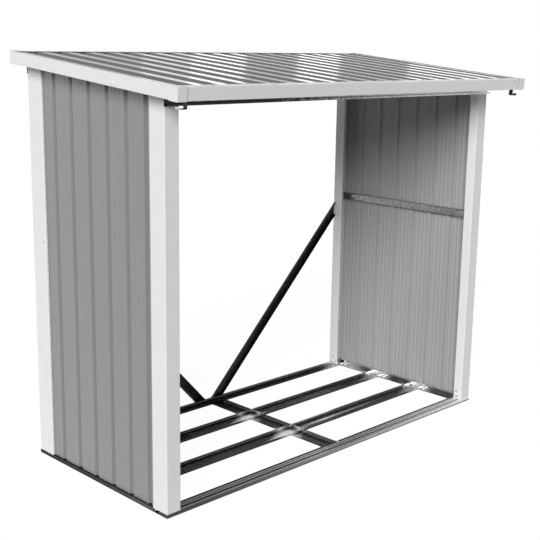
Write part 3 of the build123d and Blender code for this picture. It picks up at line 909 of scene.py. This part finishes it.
class LOGSTORE_OT_coatings(bpy.types.Operator):
    """Coat the posts and trim white and the wall and roof sheets grey"""

    bl_idname = "logstore.coatings"
    bl_label = "Coatings"

    def execute(self, context):
        settings = context.scene.logstore_coating
        give(coating("White post", settings.white), *named("post_"))
        trim = coating("White trim", settings.white, joints=(CAP_EDGE,), dents=0.5)
        give(trim, *named("trim_"))
        cap = coating("White cap", settings.white, gloss=0.46, grain=0.14)
        give(cap, *named("corner_cap_"))
        wall = sheet_coating(
            "Wall sheet", settings.grey, settings.backing, across_wall, WALL_STRETCH,
            gloss=0.35, coat=0.8, ior=1.4, rib_shadows=WALL_RIB_SHADOWS,
        )
        give(wall, *named("wall_panel_"))
        roof = sheet_coating(
            "Roof sheet", settings.roof, settings.backing, above_roof, ROOF_STRETCH,
            gloss=0.12, coat=0.0, ior=1.15, flank_shade=0.65,
        )
        give(roof, *named("roof_sheet_"))
        return {"FINISHED"}


class LOGSTORE_OT_zinc(bpy.types.Operator):
    """Galvanise the floor frame, rails, headers, braces and clips"""

    bl_idname = "logstore.zinc"
    bl_label = "Zinc"

    def execute(self, context):
        settings = context.scene.logstore_coating
        sill = zinc_coating(
            "Zinc sill", settings, sill_brightness, roughness=0.3, tilt=0.004,
            spangle=FINE_SPANGLE, metal=sill_metal,
        )
        give(sill, "base_front_sill")
        floor = zinc_coating(
            "Zinc floor", settings, floor_brightness, roughness=0.3, tilt=0.004,
            spangle=FINE_SPANGLE, rim=0.15,
        )
        members = [name for name in named("base_", "floor_rail_") if name != "base_front_sill"]
        give(floor, *members)
        # Braces near black, as painted shade
        brace = zinc_coating("Zinc in painted shade", settings, brace_brightness, roughness=0.32, tilt=0.02)
        give(brace, *named("brace_"))
        rail = zinc_coating("Zinc rail", settings, rail_brightness, roughness=0.34, tilt=0.05)
        give(rail, *named("mid_rail_", "top_rail_"))
        clip = zinc_coating("Zinc clip", settings, clip_brightness, roughness=0.3, tilt=0.02)
        give(clip, *named("front_clip_"))
        header = zinc_coating(
            "Zinc header", settings, header_brightness, roughness=0.26, tilt=0.06
        )
        give(header, *named("header_"))
        return {"FINISHED"}


class LOGSTORE_OT_screws(bpy.types.Operator):
    """Drive the hexagon screws into posts, walls, rails, floor frame and front trim"""

    bl_idname = "logstore.screws"
    bl_label = "Screws"

    def execute(self, context):
        settings = context.scene.logstore_coating
        sizes = context.scene.logstore_screws
        steel = zinc_coating(
            "Screw steel", settings, screw_brightness, roughness=0.28, tilt=0.02,
            spangle=SCREW_SPANGLE,
        )
        pattern = self.pattern(context, sizes)
        posts, walls, rails = self.side_places()
        self.drive(context, "post_screws", posts, pattern, steel)
        self.drive(context, "wall_screws", walls, pattern, steel)
        self.drive(context, "mid_rail_screws", rails, pattern, steel)
        self.drive(context, "floor_screws", self.floor_places(), pattern, steel)
        trim = self.trim_places(sizes.trim_count)
        self.drive(context, "front_trim_screws", trim, pattern, steel)
        bpy.data.objects.remove(pattern)
        return {"FINISHED"}

    def pattern(self, context, sizes):
        """One screw, standing up on the origin: a dished washer under a hexagon head."""
        washer = self.turned(context, WASHER_SIDES, sizes.washer_radius, sizes.washer_height, 0.0)
        self.top_face(washer)
        bpy.ops.mesh.inset(thickness=sizes.washer_radius - sizes.head_radius)
        bpy.ops.transform.translate(value=(0.0, 0.0, sizes.washer_height * WASHER_DISH))
        bpy.ops.object.mode_set(mode="OBJECT")
        self.soften(washer, sizes.washer_height * WASHER_ROUND)
        head = self.turned(
            context, HEAD_SIDES, sizes.head_radius, sizes.head_height, sizes.washer_height
        )
        self.top_face(head)
        bpy.ops.mesh.inset(thickness=sizes.head_radius * HEAD_CUP)
        bpy.ops.transform.translate(value=(0.0, 0.0, -sizes.head_height * HEAD_CUP_DEPTH))
        bpy.ops.object.mode_set(mode="OBJECT")
        self.soften(head, sizes.head_height * HEAD_ROUND)
        washer.select_set(True)
        bpy.ops.object.join()
        return context.active_object

    def turned(self, context, sides, radius, height, foot):
        """Upright prism on the axis of the screw, from its foot up."""
        bpy.ops.object.select_all(action="DESELECT")
        bpy.ops.mesh.primitive_cylinder_add(
            vertices=sides, radius=radius, depth=height, location=(0.0, 0.0, foot + height / 2)
        )
        bpy.ops.object.transform_apply(location=True, rotation=True, scale=True)
        return context.active_object

    def top_face(self, piece):
        """Select the face that looks up, in edit mode."""
        bpy.ops.object.mode_set(mode="EDIT")
        bpy.ops.mesh.select_mode(type="FACE")
        bpy.ops.mesh.select_all(action="DESELECT")
        bpy.ops.object.mode_set(mode="OBJECT")
        for face in piece.data.polygons:
            face.select = face.normal.z > STRAIGHT_UP
        bpy.ops.object.mode_set(mode="EDIT")

    def soften(self, piece, width):
        """Round the sharp edges off."""
        bevel = piece.modifiers.new("Softened edges", "BEVEL")
        bevel.width = width
        bevel.segments = 1
        bpy.ops.object.modifier_apply(modifier=bevel.name)

    def side_places(self):
        """Screws of the posts, walls and mid rails: the place and outward direction of each."""
        posts, walls, rails = [], [], []
        for side, word in ((-1, "left"), (1, "right")):
            across = Vector((side, 0.0, 0.0))
            front_low, front_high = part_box(f"post_front_{word}")
            back_low, back_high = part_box(f"post_back_{word}")
            rail_low, rail_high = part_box(f"mid_rail_{word}")
            front_face = front_low.x if side > 0 else front_high.x
            back_face = back_low.x if side > 0 else back_high.x
            back_flank = back_high.x if side > 0 else back_low.x
            rail_face = rail_low.x if side > 0 else rail_high.x
            for height, inwards in FRONT_POST_SCREWS:
                posts.append(((front_face, SILL_LOW.y + inwards, height), -across))
            for height, inwards in BACK_POST_SCREWS:
                posts.append(((back_face, back_high.y - inwards, height), -across))
            height, inwards = FLANK_SCREW
            posts.append(((back_flank, back_low.y + inwards, height), across))
            for inwards in MID_RAIL_SCREWS:
                rails.append(((rail_face, SILL_LOW.y + inwards, MID_RAIL_SCREW_HEIGHT), -across))
            skin = side * (BASE_WIDTH / 2 - WALL_SKIN_DEPTH)
            for rib in SCREWED_RIBS:
                along = WALL_FIRST_RIB + WALL_PITCH * rib
                y = SILL_LOW.y + along if side < 0 else REAR_HIGH.y - along
                walls.append(((skin, y, WALL_SCREW_HEIGHT), across))
        return posts, walls, rails

    def floor_places(self):
        """Screws on the cross member, over the sill and both rows of floor rails."""
        up = Vector((0.0, 0.0, 1.0))
        x = CROSS_HIGH.x - CROSS_SCREW_INSET
        rails = [high.y - FLOOR_RAIL_SCREW for high in (FRONT_RAIL_HIGH, BACK_RAIL_HIGH)]
        return [((x, y, CROSS_HIGH.z), up) for y in (SILL_LOW.y + SILL_SCREW, *rails)]

    def trim_places(self, count):
        """Screws on top of the front trim, evenly spaced along it."""
        up_slope = Vector((0.0, math.cos(ROOF_SLOPE), math.sin(ROOF_SLOPE)))
        off_roof = Vector((0.0, -math.sin(ROOF_SLOPE), math.cos(ROOF_SLOPE)))
        foot = Vector((0.0, TRIM_LOW.y + TRIM_HEIGHT * math.sin(ROOF_SLOPE), TRIM_LOW.z))
        top = foot + up_slope * TRIM_SCREW_ALONG + off_roof * TRIM_HEIGHT
        shares = [(number + 0.5) / count * 2 - 1 for number in range(count)]
        return [(top + Vector((-TRIM_LOW.x * share, 0.0, 0.0)), off_roof) for share in shares]

    def drive(self, context, name, places, pattern, steel):
        """One piece of all the screws of a member."""
        bpy.ops.object.select_all(action="DESELECT")
        for place, out in places:
            mesh = pattern.data.copy()
            turn = out.to_track_quat("Z", "Y").to_matrix().to_4x4()
            mesh.transform(Matrix.Translation(place) @ turn)
            screw = bpy.data.objects.new(name, mesh)
            context.scene.collection.objects.link(screw)
            screw.select_set(True)
            context.view_layer.objects.active = screw
        bpy.ops.object.join()
        piece = context.active_object
        piece.name = name
        piece.data.materials.clear()
        piece.data.materials.append(steel)
        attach(piece, "root")


class LOGSTORE_PT_panel(bpy.types.Panel):
    """Buttons and settings of the log store's finish"""

    bl_idname = "LOGSTORE_PT_panel"
    bl_label = "Log Store"
    bl_space_type = "VIEW_3D"
    bl_region_type = "UI"
    bl_category = "Log Store"

    def draw(self, context):
        for operator in OPERATORS:
            self.layout.operator(operator.bl_idname)
        for name, group in GROUPS.items():
            box = self.layout.box()
            for field in group.__annotations__:
                box.prop(getattr(context.scene, name), field)


GROUPS = {
    "logstore_camera": CameraSettings,
    "logstore_stage": StageSettings,
    "logstore_coating": CoatingSettings,
    "logstore_screws": ScrewSettings,
}
OPERATORS = (
    LOGSTORE_OT_camera,
    LOGSTORE_OT_stage,
    LOGSTORE_OT_coatings,
    LOGSTORE_OT_zinc,
    LOGSTORE_OT_screws,
)


def register():
    for group in GROUPS.values():
        bpy.utils.register_class(group)
    for operator in OPERATORS:
        bpy.utils.register_class(operator)
    bpy.utils.register_class(LOGSTORE_PT_panel)
    for name, group in GROUPS.items():
        setattr(bpy.types.Scene, name, PointerProperty(type=group))


def unregister():
    for name in GROUPS:
        delattr(bpy.types.Scene, name)
    bpy.utils.unregister_class(LOGSTORE_PT_panel)
    for operator in reversed(OPERATORS):
        bpy.utils.unregister_class(operator)
    for group in reversed(GROUPS.values()):
        bpy.utils.unregister_class(group)


def main():
    register()
    bpy.ops.logstore.camera()
    bpy.ops.logstore.stage()
    bpy.ops.logstore.coatings()
    bpy.ops.logstore.zinc()
    bpy.ops.logstore.screws()
    bpy.context.scene.view_settings.view_transform = "Standard"


if __name__ == "__main__":
    main()
